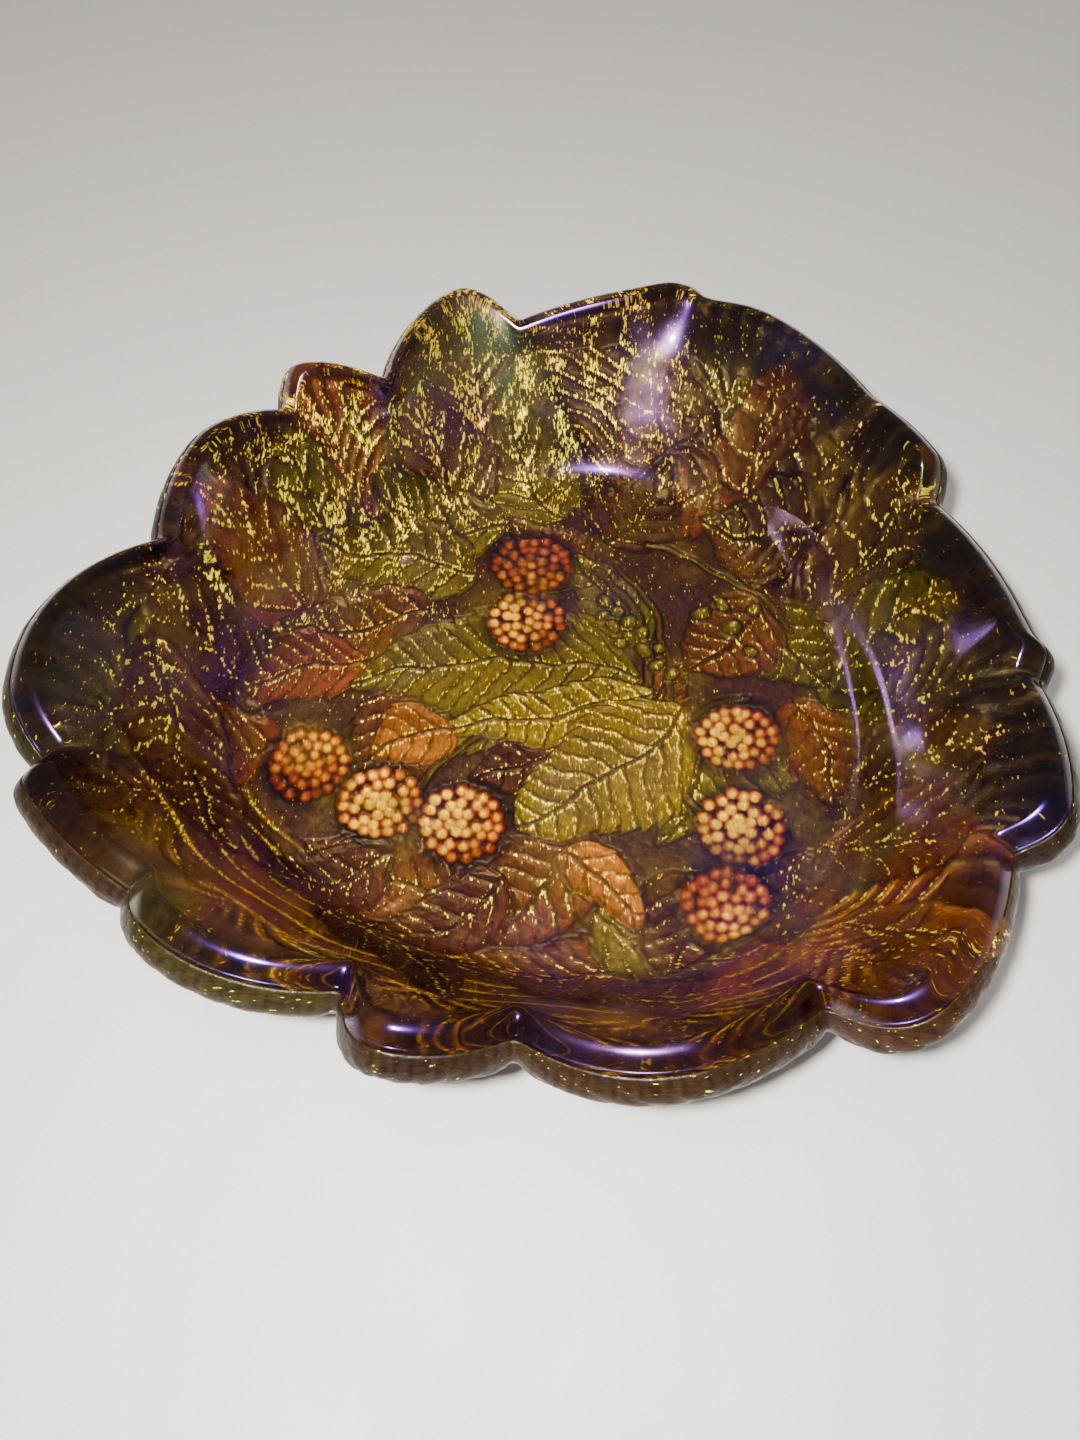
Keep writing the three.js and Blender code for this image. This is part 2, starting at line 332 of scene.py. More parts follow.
CAMERA_PLACE = (0.00172, -0.14502, 0.23213)
CAMERA_TILT = 31.5
FOCAL_LENGTH = 29
SENSOR_WIDTH = 36
FLOOR_HALF_WIDTH = 3.0
FLASH_WHITE = (1, 0.97, 0.92)
WARM_WHITE = (1, 0.96, 0.9)
COOL_WHITE = (0.95, 0.97, 1)
ROOM_COLOUR = (0.75, 0.8, 0.9, 1)
ROOM_BRIGHTNESS = 0.16

# ---- How finely the surfaces are divided ----

COLUMN_STEP = 0.5
FEWEST_COLUMNS = 5
FLOOR_ROWS = 18
WALL_ROWS = 44
LIP_ROWS = 6
LIP_FACE_STEPS = 3
OUTER_WALL_ROWS = 110
UNDERSIDE_ROWS = 190
INNERMOST = 0.02  # share of the floor's reach where the innermost row lies


# ---- The section of the bowl at each angle ----


def ease(along, fullness):
    """From 0 to 1, rising early when the fullness is large."""
    return 1 - (1 - along) ** fullness


def smooth(value, low, high):
    """0 up to low, 1 from high on, and a gentle step between."""
    share = np.clip((value - low) / (high - low), 0, 1)
    return share * share * (3 - 2 * share)


def mix(first, second, share):
    """The first at a share of 0 and the second at a share of 1."""
    return first + (second - first) * share


def three_cornered(reach, angles):
    """Distance from the centre of an outline with three soft corners."""
    mean, corner = reach
    return mean + corner * np.cos(np.radians(3 * (angles - CORNER_ANGLE)))


def column_angles():
    """Angles that include every notch and every tip."""
    angles = []
    ends = np.append(NOTCH_ANGLE[1:], NOTCH_ANGLE[0] + 360)
    for start, tip, end in zip(NOTCH_ANGLE, TIP_ANGLE, ends, strict=True):
        for low, high in ((start, tip), (tip, end)):
            count = max(FEWEST_COLUMNS, round((high - low) / COLUMN_STEP))
            angles.extend(np.linspace(low, high, count, endpoint=False))
    return np.array(angles)


ANGLES = column_angles()


def lip_at(angles):
    """Reach and height of the lip, how far across its leaf each angle is (0 at a notch, 1 at the tip),
    the leaf's number and the side of its midrib."""
    first = NOTCH_ANGLE[0]
    turned = (angles - first) % 360 + first
    leaf = np.searchsorted(NOTCH_ANGLE, turned, side="right") - 1
    after = (leaf + 1) % len(NOTCH_ANGLE)
    end = NOTCH_ANGLE[after] + np.where(after == 0, 360, 0)
    rising = turned <= TIP_ANGLE[leaf]
    notch = np.where(rising, NOTCH_ANGLE[leaf], end)
    notch_reach = np.where(rising, NOTCH_REACH[leaf], NOTCH_REACH[after])
    across = (turned - notch) / (TIP_ANGLE[leaf] - notch)
    reach = mix(notch_reach, TIP_REACH[leaf], ease(across, np.where(rising, SWELL[leaf], FALL[leaf])))
    dip = np.where(rising, DIP[leaf], DIP[after])
    height = LEAF_HEIGHT - dip * (1 - ease(across, NOTCH_CURVE))
    return reach, height, across, leaf, np.where(rising, -1, 1)


def rounded_off(values, spread):
    """Values averaged over the columns on either side, mostly those nearer than the spread."""
    reach = 3 * spread
    weights = np.exp(-0.5 * (np.arange(-reach, reach + 1) / spread) ** 2)
    padded = np.concatenate([values[-reach:], values, values[:reach]])
    return np.convolve(padded, weights / weights.sum(), "valid")


LIP_REACH, LIP_HEIGHT, ACROSS, LEAF_NUMBER, SIDE = lip_at(ANGLES)
AT_CORNER = np.exp(-(((ANGLES - CORNER_ANGLE) / CORNER_SPAN) ** 2))
LIP_REACH, LIP_HEIGHT = (
    mix(rounded_off(values, LIP_ROUNDING), rounded_off(values, CORNER_ROUNDING), AT_CORNER)
    for values in (LIP_REACH, LIP_HEIGHT)
)
WALL_TOP_REACH = rounded_off(LIP_REACH, WALL_ROUNDING)
WALL_TOP_HEIGHT = rounded_off(LIP_HEIGHT, WALL_ROUNDING)


def inside_of_wall(along):
    """(distance from the centre, height) at each angle, where along is 0 at the floor's edge and 1 at
    the crest."""
    floor_edge = three_cornered(FLOOR_REACH, ANGLES)
    wall = three_cornered(WALL_REACH, ANGLES)
    mean_crest = MEAN_LIP_HEIGHT + CREST_OVER_LIP
    lobes = along**LOBE_CURVE
    sharpness = smooth(along, 0.75, 1)
    lip_reach = mix(WALL_TOP_REACH, LIP_REACH, sharpness)
    lip_height = mix(WALL_TOP_HEIGHT, LIP_HEIGHT, sharpness)
    reach = mix(floor_edge, wall, along) + (lip_reach - LIP_WIDTH - wall) * lobes
    curve = mix(COVE_CURVE, WALL_CURVE, smooth(along, 0, 0.5))
    height = FLOOR_TOP + (mean_crest - FLOOR_TOP) * along**curve
    return np.stack([reach, height + (lip_height - MEAN_LIP_HEIGHT) * lobes], axis=-1)


def outwards(along):
    """The direction square to the inside of the wall, as (distance, height), at each angle."""
    step = 0.02
    run = inside_of_wall(min(along + step, 1)) - inside_of_wall(max(along - step, 0))
    run /= np.linalg.norm(run, axis=-1, keepdims=True)
    return np.stack([run[:, 1], -run[:, 0]], axis=-1)


def outside_of_wall(along):
    """The same as inside_of_wall, one thickness of glass further out."""
    return inside_of_wall(along) + GLASS_THICKNESS * outwards(along)


def spline(points, steps):
    """Rows on a smooth curve through all but the first and the last of the points."""
    rows = []
    for before, start, end, after in zip(points, points[1:], points[2:], points[3:], strict=False):
        pairs = ((before, start), (start, end), (end, after))
        a, b, c = (np.sqrt(np.linalg.norm(q - p, axis=-1, keepdims=True)) for p, q in pairs)
        leaving = b * ((start - before) / a - (end - before) / (a + b) + (end - start) / b)
        arriving = b * ((end - start) / b - (after - start) / (b + c) + (after - end) / c)
        for t in np.linspace(0, 1, steps, endpoint=False):
            row = (2 * t**3 - 3 * t**2 + 1) * start + (t**3 - 2 * t**2 + t) * leaving
            rows.append(row + (3 * t**2 - 2 * t**3) * end + (t**3 - t**2) * arriving)
    return rows


def flat_rows(shares, height):
    """Rows at one height, at those shares of the floor's reach."""
    edge = three_cornered(FLOOR_REACH, ANGLES)
    return [np.stack([share * edge, np.full_like(edge, height)], axis=-1) for share in shares]


def inner_rows():
    """From the middle of the floor up to just short of the crest."""
    floor = flat_rows(np.linspace(INNERMOST, 1, FLOOR_ROWS, endpoint=False), FLOOR_TOP)
    return floor + [inside_of_wall(along) for along in np.linspace(0, 1, WALL_ROWS, endpoint=False)]


def lip_rows():
    """From the crest round to where the lip meets the outside of the wall."""
    crest = inside_of_wall(1)
    around = [crest + np.array(step) for step in LIP_PROFILE]
    below = [outside_of_wall(LIP_MEETS_WALL), outside_of_wall(LIP_MEETS_WALL - 0.06)]
    return spline([inside_of_wall(0.93), crest, *around, *below], LIP_ROWS)


def outer_alongs():
    """How far up the wall each row of its outside is."""
    return np.linspace(LIP_MEETS_WALL, 0, OUTER_WALL_ROWS, endpoint=False)


def outer_rows():
    """From under the lip down the outside and in under the floor."""
    wall = [outside_of_wall(along) for along in outer_alongs()]
    return wall + flat_rows(np.linspace(1, INNERMOST, UNDERSIDE_ROWS), FLOOR_UNDERSIDE)


def round_the_centre(rows):
    """(rows, columns, 3) points from (distance, height) rows."""
    section = np.array(rows)
    turn = np.radians(ANGLES)
    reach, height = section[..., 0], section[..., 1]
    return np.stack([reach * np.cos(turn), reach * np.sin(turn), height], axis=-1)


# ---- The relief: height, colour and gilding over the outside ----


def ripples(x, y):
    """An uneven sum of short waves in many directions, about -1 to 1."""
    count = 24
    shortest, longest = 1.6, 4.5
    total = np.zeros(x.shape)
    draws = np.random.default_rng(7)
    for length in draws.uniform(shortest, longest, count):
        turn, start = draws.uniform(0, 2 * math.pi, 2)
        total += np.sin((x * math.cos(turn) + y * math.sin(turn)) * 2 * math.pi / length + start)
    return total / math.sqrt(count)


def wandering(x, y):
    """Places moved by up to about a millimetre, so that no line of the relief is quite straight."""
    moved_x = x + 0.8 * np.sin(0.31 * y + 1) + 0.3 * np.sin(0.63 * y + 0.3 * x)
    moved_y = y + 0.8 * np.sin(0.27 * x + 2) + 0.3 * np.sin(0.61 * x - 0.4 * y)
    return moved_x, moved_y


class Relief:
    """What is pressed into the outside, laid down piece over piece. along is 1 at the lip, 0 where the
    wall meets the floor and -1 at the centre."""

    def __init__(self, points, along):
        x, y = points[..., 0], points[..., 1]
        self.true_x, self.true_y = x, y
        self.x, self.y = wandering(x, y)
        self.along = along
        self.ripple = ripples(x, y)
        self.height = np.zeros(self.x.shape)
        self.colour = np.broadcast_to(COLOURS["ground"], (*self.x.shape, 3)).copy()
        self.far_left = smooth(y - 0.5 * x, 70, 100)
        # Scattered painted gold glints lie in clumps, more of them up the wall and most at the far
        # left.
        up_wall = smooth(along, -0.1, 0.6)[:, None]
        clumps = smooth(ripples(x / CLUMP_SIZE, y / CLUMP_SIZE), -0.5, 1.1)
        self.scattered_glints = (0.1 + up_wall * 0.12 + 0.45 * smooth(y - 0.6 * x, 10, 80)) * (0.3 + clumps)
        self.gilding_and_glints = self.scattered_glints.copy()

    def lay(self, cover, height, colour, gilding_and_glints):
        """cover is 0 to 1; the rest may be arrays over the whole grid."""
        self.height = mix(self.height, height, cover)
        self.colour = mix(self.colour, colour, cover[..., None])
        self.gilding_and_glints = mix(self.gilding_and_glints, gilding_and_glints, cover)


def vein_line(phase, width):
    """1 along the middle of each vein; phase counts veins and width is a share of their spacing."""
    return np.exp(-(((phase % 1) - 0.5) ** 2) / width**2)


def pillows(phase):
    """1 half way between two veins and 0 on a vein."""
    return 0.5 + 0.5 * np.cos(2 * np.pi * (phase % 1))


def leaf_places(relief, stalk, tip, bend):
    """How far along the leaf each point is (0 at the stalk, 1 at the tip), how far it is to the left of
    the midrib, and the leaf's length."""
    stalk, tip = np.array(stalk, float), np.array(tip, float)
    length = np.linalg.norm(tip - stalk)
    ahead = (tip - stalk) / length
    x, y = relief.x - stalk[0], relief.y - stalk[1]
    along = (x * ahead[0] + y * ahead[1]) / length
    inside = np.clip(along, 0, 1)
    bow = 4 * bend * inside * (1 - inside)
    return along, y * ahead[0] - x * ahead[1] - bow, length


def leaf_inset(along, reach, length, width):
    """How far each point is inside the leaf's toothed edge."""
    inside = np.clip(along, 0, 1)
    teeth = 1 + TOOTH_DEPTH * (((inside - TOOTH_SLANT * reach / length) * length / VEIN_SPACING) % 1)
    half_width = 0.5 * width * np.sin(np.pi * inside**LEAF_FULLNESS) ** LEAF_FULLNESS * teeth
    return np.where((along > 0) & (along < 1), half_width - reach, -1.0)


def lay_leaf(relief, stalk, tip, width, bend, colour):
    """A leaf with a midrib and side veins, painted shade in the grooves and round the edge, and one
    half painted lighter. Its middle lies off a straight line by the bend.
    """
    along, aside, length = leaf_places(relief, stalk, tip, bend)
    reach = np.abs(aside)
    inset = leaf_inset(along, reach, length, width)
    phase = length / VEIN_SPACING * (np.clip(along, 0, 1) - VEIN_SLANT * (reach / length) ** 1.15)
    phase = phase + 0.5 * (aside > 0) + 0.05 * relief.ripple
    side_veins = vein_line(phase, VEIN_WIDTH) * smooth(inset, 0.0, 1.2)
    midrib = np.exp(-((aside / MIDRIB_WIDTH) ** 2))
    line = np.maximum(side_veins, midrib)
    height = LEAF_FOOT + LEAF_RISE * smooth(inset, 0, LEAF_ROUNDING)
    height = height + LEAF_PILLOW * pillows(phase) - VEIN_DEPTH * line
    edge = 1 - smooth(inset, 0.0, LEAF_EDGE)
    # Painted shade in the vein grooves and round the edge.
    dark = np.clip(0.85 * line + edge, 0, 1)
    gilding_and_glints = leaf_glints(relief, colour, phase, reach) * (1 - dark)
    # One half of each leaf, across the midrib, is painted lighter than the other: painted light and
    # shade.
    light = (0.75 + 0.45 * smooth(aside / width, -0.4, 0.4)) * (1 + 0.12 * relief.ripple)
    body = np.array(COLOURS[colour]) * np.clip(light, 0.2, 1.6)[..., None]
    tone = mix(body, np.array(COLOURS["gap"]), dark[..., None])
    relief.lay(smooth(inset, -0.3, 0.3), height, tone, gilding_and_glints)


def leaf_glints(relief, colour, phase, reach):
    """Scattered painted gold glints, and a line of them beside each vein and beside the midrib."""
    beside_veins = np.exp(-(((phase % 1) - 0.66) ** 2) / 0.07**2)
    beside_midrib = np.exp(-((reach - 0.9) ** 2) / 0.12)
    shine = GOLD_LEAF_SHINE if colour == "gold" else 0.0
    scattered = relief.scattered_glints * LEAF_GLINT_SHARE.get(colour, 1.0) + shine
    return np.clip(scattered + VEIN_GLINTS * (beside_veins + beside_midrib), 0, 1)


def lay_stem(relief, points, width):
    """A rounded stem through the points, painted lighter along its top and with painted shade along its
    edges.
    """
    path = smooth_path(points)
    reach = np.full(relief.x.shape, np.inf)
    for start, end in zip(path, path[1:], strict=False):
        ahead = end - start
        share = (relief.x - start[0]) * ahead[0] + (relief.y - start[1]) * ahead[1]
        share = np.clip(share / (ahead @ ahead), 0, 1)
        gap = np.hypot(relief.x - start[0] - share * ahead[0], relief.y - start[1] - share * ahead[1])
        reach = np.minimum(reach, gap)
    half = width / 2
    cover = smooth(-reach, -half - 0.5, -half)
    round_top = np.sqrt(np.clip(1 - (reach / half) ** 2, 0, 1))
    between = mix(np.array(COLOURS["brown"]), np.array(COLOURS["olive"]), 0.5)
    tone = between * (0.2 + 0.5 * round_top[..., None])
    # Painted shade along the stem's edges.
    edge_shade = smooth(reach, half * 0.75, half)
    colour = mix(tone, np.array(COLOURS["gap"]), edge_shade[..., None])
    relief.lay(cover, STEM_FOOT + STEM_RISE * round_top, colour, 0.2)


def smooth_path(points, steps=6):
    """Points closer together on a smooth curve through the given ones."""
    points = [np.array(p, float) for p in points]
    points = [2 * points[0] - points[1], *points, 2 * points[-1] - points[-2]]
    rows = spline([p[None, :] for p in points], steps)
    return [row[0] for row in rows] + [points[-2]]


def bead_places(draws):
    """Where a berry's beads are, in uneven rings about its own centre."""
    places = [np.zeros((1, 2))]
    for ring in range(1, BEAD_RINGS):
        turn = np.linspace(0, 2 * math.pi, 6 * ring, endpoint=False) + draws.uniform(0, 1)
        places.append(ring * BEAD_SPACING * np.stack([np.cos(turn), 0.94 * np.sin(turn)], axis=-1))
    places = np.concatenate(places) * draws.uniform(0.92, 1.04, 2)
    return places + draws.uniform(-0.2, 0.2, places.shape) * BEAD_SPACING


def lay_berry(relief, centre, highlight_strength, highlight_centre, seed):
    """The beads are painted brightest near the given point, by the given strength, and darker towards
    their edges; a painted shadow rings the berry.
    """
    draws = np.random.default_rng(seed)
    beads = bead_places(draws)
    x, y = relief.true_x - centre[0], relief.true_y - centre[1]
    reach = np.hypot(x, y) / BERRY_RADIUS
    around = reach < 1.2
    offsets = np.stack([x[around], y[around]], axis=-1)[:, None, :] - beads[None]
    distance = np.linalg.norm(offsets, axis=-1)
    nearest = distance.argmin(axis=1)
    bead = np.zeros(x.shape)
    bead[around] = np.sqrt(np.clip(1 - (distance.min(axis=1) / BEAD_RADIUS) ** 2, 0, 1))
    tone = np.zeros(x.shape)
    tone[around] = draws.uniform(-0.3, 0.3, len(beads))[nearest]
    dome = BERRY_RISE * np.sqrt(np.clip(1 - np.minimum(reach, 1) ** 2, 0, 1))
    # Painted highlight, strongest near the given point.
    lit = np.clip(1 - np.hypot(x - highlight_centre[0], y - highlight_centre[1]) / (1.5 * BERRY_RADIUS), 0, 1)
    painted_brightness = np.clip(bead**BEAD_SHADE_POWER * (0.4 + lit * highlight_strength + 0.45 * tone), 0, 1)
    channels = zip(*(COLOURS[name] for name in BERRY_COLOURS), strict=True)
    colour = np.stack([np.interp(painted_brightness, BERRY_BRIGHTNESS_STOPS, channel) for channel in channels], axis=-1)
    # A painted shadow in a ring round the berry.
    berry_shadow = 0.8 * smooth(-reach, -1.25, -0.95)
    relief.colour = mix(relief.colour, np.array(COLOURS["gap"]), berry_shadow[..., None])
    relief.gilding_and_glints *= 1 - berry_shadow
    cover = np.maximum(smooth(bead, 0.05, 0.35), smooth(-reach, -0.85, -0.75))
    relief.lay(cover, dome + BEAD_RISE * bead, colour, 0.3 * smooth(painted_brightness, 0.5, 0.9))


def lay_bud(relief, centre, radius):
    """A small round olive bud, painted lighter on top with a painted glint there, and with painted
    shade round its edge.
    """
    reach = np.hypot(relief.x - centre[0], relief.y - centre[1]) / radius
    round_top = np.sqrt(np.clip(1 - reach**2, 0, 1))
    olive_share = smooth(round_top, 0.1, 0.9)[..., None]
    tone = mix(np.array(COLOURS["gap"]), np.array(COLOURS["olive"]), olive_share)
    height = STEM_FOOT + radius * BUD_RISE * round_top
    relief.lay(smooth(-reach, -1.25, -1.0), height, tone, 0.5 * round_top)


def half_leaf_widths():
    """How far it is, at each angle, from the midrib of its rim leaf to that side's edge at the lip."""
    ends = np.append(NOTCH_ANGLE[1:], NOTCH_ANGLE[0] + 360)
    before_tip = TIP_ANGLE[LEAF_NUMBER] - NOTCH_ANGLE[LEAF_NUMBER]
    after_tip = ends[LEAF_NUMBER] - TIP_ANGLE[LEAF_NUMBER]
    return np.radians(np.where(SIDE < 0, before_tip, after_tip)) * RIM_LEAF_DISTANCE


def lay_rim_leaves(relief):
    """The leaves that make the rim, each narrowing down the wall to its stalk, with painted shade
    beside each vein and round the edge and painted gold glints along the veins.
    """
    along = relief.along[:, None]
    up = np.clip(along, 0, 1)
    across = np.broadcast_to(ACROSS, relief.x.shape)
    narrowing = 1 - RIM_LEAF_NARROWING * (1 - up) ** 1.2
    aside = (1 - across) / narrowing
    half_width = half_leaf_widths()
    reach = half_width * (1 - across)
    inset = (1 - aside) * half_width * narrowing
    cover = smooth(inset, -0.3, 0.5) * smooth(along, 0.08, 0.2) * np.ones_like(reach)
    slow_waver = 0.9 * np.sin(0.21 * relief.x + 0.13 * relief.y)
    quick_waver = 0.5 * np.sin(0.4 * relief.y - 0.23 * relief.x)
    rise = RIM_LEAF_LENGTH * up - RIM_VEIN_SLANT * reach + RIM_VEIN_BEND * reach**2
    rise = rise + (slow_waver + quick_waver)
    phase = rise / RIM_VEIN_SPACING + 0.5 * (SIDE > 0)
    side_veins = vein_line(phase, RIM_VEIN_WIDTH) * smooth(reach, 0.2, 1.2)
    midrib = np.exp(-((reach / RIM_MIDRIB_WIDTH) ** 2))
    line = np.maximum(side_veins, midrib)
    height = RIM_LEAF_FOOT + RIM_LEAF_RISE * smooth(inset, 0, 3)
    height = height + RIM_LEAF_PILLOW * pillows(phase) - RIM_VEIN_DEPTH * line
    edge = 1 - smooth(inset, 0.0, 1.4)
    # Painted shade beside each vein and round the edge.
    dark = np.clip(0.7 * vein_line(phase + 0.2, 0.12) + 0.95 * edge, 0, 1)
    gilding_and_glints = np.clip(relief.scattered_glints + VEIN_GLINTS * line, 0, 1) * (1 - 0.8 * dark)
    strokes = near_glint_strokes(relief, phase, reach)
    colour, gilding_and_glints = rim_leaf_colours(relief, dark, gilding_and_glints, strokes)
    relief.lay(cover, height, colour, gilding_and_glints)


def rim_leaf_colours(relief, dark, gilding_and_glints, strokes):
    """Each leaf's own colour, black where the painted shade lies, a painted shadow at the lip and
    painted gold highlights along the strokes.
    """
    choices = np.array([COLOURS[name] for name in RIM_LEAF_COLOURS])
    body = choices[LEAF_NUMBER % len(choices)]
    # A painted shadow over the lip, except at the far left.
    lip_shadow = smooth(relief.along[:, None], 0.7, 0.85) * (1 - relief.far_left)
    colour = mix(body, np.array(COLOURS["gap"]), dark[..., None])
    colour = mix(colour, lip_shadow_tones(), 0.9 * lip_shadow[..., None])
    colour = mix(colour, np.array(COLOURS["gilt_glint"]), (0.8 * strokes)[..., None])
    return colour, np.maximum(mix(gilding_and_glints, gilding_and_glints * 0.35, lip_shadow), 0.9 * strokes)


def lip_shadow_tones():
    """The painted shadow of the lip at each angle, with the painted light and shade of a fine ridge
    every few millimetres.
    """
    # Stripes of painted light and shade for fine ridges.
    ridges = 0.5 + 0.5 * np.cos(2 * np.pi * np.radians(ANGLES) * LIP_DISTANCE / LIP_RIDGE_SPACING)
    return np.array(COLOURS["lip_shadow"]) * (0.25 + 0.65 * ridges)[:, None]


def near_glint_strokes(relief, phase, reach):
    """Painted gold highlights beside the veins of the near rim leaves, below the lip."""
    strokes = vein_line(phase - 0.25, 0.08) * smooth(reach, 0.5, 2) * smooth(-relief.true_y, 30, 60)
    down = -relief.along[:, None]
    return strokes * smooth(down, -LIP_MEETS_WALL - 0.02, -LIP_MEETS_WALL + 0.02)


def lay_sweeping_veins(relief):
    """Long veins that run round the near wall, with painted shade in each groove and a painted gold
    highlight on one flank.
    """
    along = relief.along[:, None]
    turn = ANGLES - NEAR_ANGLE
    slow_waver = 0.9 * np.sin(np.radians(6 * turn)) * (1.2 - along)
    quick_waver = 0.7 * np.sin(np.radians(17 * turn) + 5 * along)
    rise = SWEEP_LENGTH_UP_WALL * along + SWEEP_TILT * turn + (slow_waver + quick_waver)
    phase = rise / SWEEP_SPACING
    line = vein_line(phase, SWEEP_VEIN_WIDTH)
    # A painted gold highlight on one flank of each vein.
    lit = vein_line(phase + 0.22, SWEEP_VEIN_WIDTH)
    cover = smooth(along, 0.02, 0.12) * smooth(-along, -0.78, -0.62) * smooth(-np.abs(turn), -62, -42)
    band = 0.5 + 0.5 * np.sin(phase * 2.1 + np.radians(3 * turn))
    body = mix(np.array(COLOURS["dark"]), np.array(COLOURS["brown"]), band[..., None])
    colour = mix(body, np.array(COLOURS["gap"]), (0.85 * line)[..., None])
    colour = mix(colour, np.array(COLOURS["gilt_glint"]), (0.75 * lit)[..., None])
    height = SWEEP_FOOT + SWEEP_RISE * np.cos(2 * np.pi * phase)
    relief.lay(cover, height, colour, 0.2 + 0.8 * lit)


def darken_walls(relief):
    """Darkens the wall, but not the near one."""
    high = smooth(relief.along, -0.15, 0.25)[:, None] * (1 - smooth(-relief.true_y, 35, 60))
    darkening = WALL_DARKENING + RIGHT_DARKENING * smooth(relief.true_x, 20, 70)
    relief.colour *= 1 - (darkening * high)[..., None]


def outer_relief(points, along):
    """Everything pressed into the outside, with what lies on top laid down last."""
    relief = Relief(points, along)
    lay_rim_leaves(relief)
    lay_sweeping_veins(relief)
    for leaf in OUTER_LEAVES + WALL_LEAVES + FLOOR_LEAVES[:-LEAVES_OVER_STEMS]:
        lay_leaf(relief, *leaf)
    for path, width in STEMS:
        lay_stem(relief, path, width)
    for leaf in FLOOR_LEAVES[-LEAVES_OVER_STEMS:]:
        lay_leaf(relief, *leaf)
    for centre, radius in BUDS:
        lay_bud(relief, centre, radius)
    for seed, berry in enumerate(BERRIES):
        lay_berry(relief, *berry, seed)
    darken_walls(relief)
    return relief


# ---- Meshes ----


def strips(row_count, start=0):
    """Quads between neighbouring rows of columns."""
    columns = np.arange(len(ANGLES))
    after = np.roll(columns, -1)
    rows = start + len(ANGLES) * np.arange(row_count - 1)[:, None]
    quads = [rows + columns, rows + len(ANGLES) + columns, rows + len(ANGLES) + after, rows + after]
    return np.stack(quads, axis=-1).reshape(-1, 4)


def build_mesh(name, points, quads, triangles):
    """A smooth-shaded mesh of those faces."""
    mesh = bpy.data.meshes.new(name)
    mesh.from_pydata(points.tolist(), [], quads.tolist() + triangles.tolist())
    mesh.validate()
    mesh.update()
    mesh.shade_smooth()
    return mesh


def fan(middle, start, facing_up):
    """Triangles from the middle point to the row of columns that begins at start."""
    columns = np.arange(len(ANGLES))
    after = np.roll(columns, -1)
    corners = [np.full_like(columns, middle), start + columns, start + after]
    if not facing_up:
        corners = corners[::-1]
    return np.stack(corners, axis=-1)


def middle_of(row):
    """The point in the middle of a row of columns."""
    return row.mean(axis=0)


def normals_of(points):
    """Unit normals of a grid of rows, facing out of the glass when its section runs clockwise."""
    down = np.gradient(points, axis=0)
    closed = np.concatenate([points[:, -1:], points, points[:, :1]], axis=1)
    around = np.gradient(closed, axis=1)[:, 1:-1]
    normals = np.cross(around, down)
    return -normals / np.maximum(np.linalg.norm(normals, axis=-1, keepdims=True), 1e-9)


def add_values(mesh, name, values):
    """A number at each point, for the material to read by name."""
    attribute = mesh.attributes.new(name, "FLOAT", "POINT")
    attribute.data.foreach_set("value", np.ascontiguousarray(values, np.float32).ravel())


def add_colours(mesh, name, colours):
    """A colour at each point, for the material to read by name."""
    attribute = mesh.attributes.new(name, "FLOAT_COLOR", "POINT")
    rgba = np.ones((len(colours), 4), np.float32)
    rgba[:, :3] = colours
    attribute.data.foreach_set("color", rgba.ravel())


def solid_shell(grid, thickness, middle_row):
    """A closed sheet of that thickness whose outside is the grid of rows; middle_row is 0 or -1,
    whichever row closes round the centre."""
    inner = grid - thickness * normals_of(grid)
    rows = len(grid)
    size = rows * len(ANGLES)
    columns = np.arange(len(ANGLES))
    after = np.roll(columns, -1)
    middle = 0 if middle_row == 0 else size - len(ANGLES)
    edge = size - len(ANGLES) - middle
    rim = [columns, after, size + after, size + columns]
    rim = np.stack([edge + corner for corner in (rim if middle else rim[::-1])], axis=-1)
    quads = np.concatenate([strips(rows), strips(rows, size)[:, ::-1], rim])
    points = np.concatenate([grid.reshape(-1, 3), inner.reshape(-1, 3)])
    points = np.concatenate([points, [middle_of(grid[middle_row]), middle_of(inner[middle_row])]])
    caps = [fan(2 * size, middle, middle == 0), fan(2 * size + 1, size + middle, middle != 0)]
    return points, quads, np.concatenate(caps)


def over_shell(values):
    """One side's values repeated for both sides of a closed sheet and its two middles."""
    return np.concatenate([values, values, values[-1:], values[-1:]])


def place(name, mesh, material):
    """Puts the mesh in the scene with its material."""
    piece = bpy.data.objects.new(name, mesh)
    bpy.context.scene.collection.objects.link(piece)
    mesh.materials.append(material)
    return piece


# ---- Materials ----


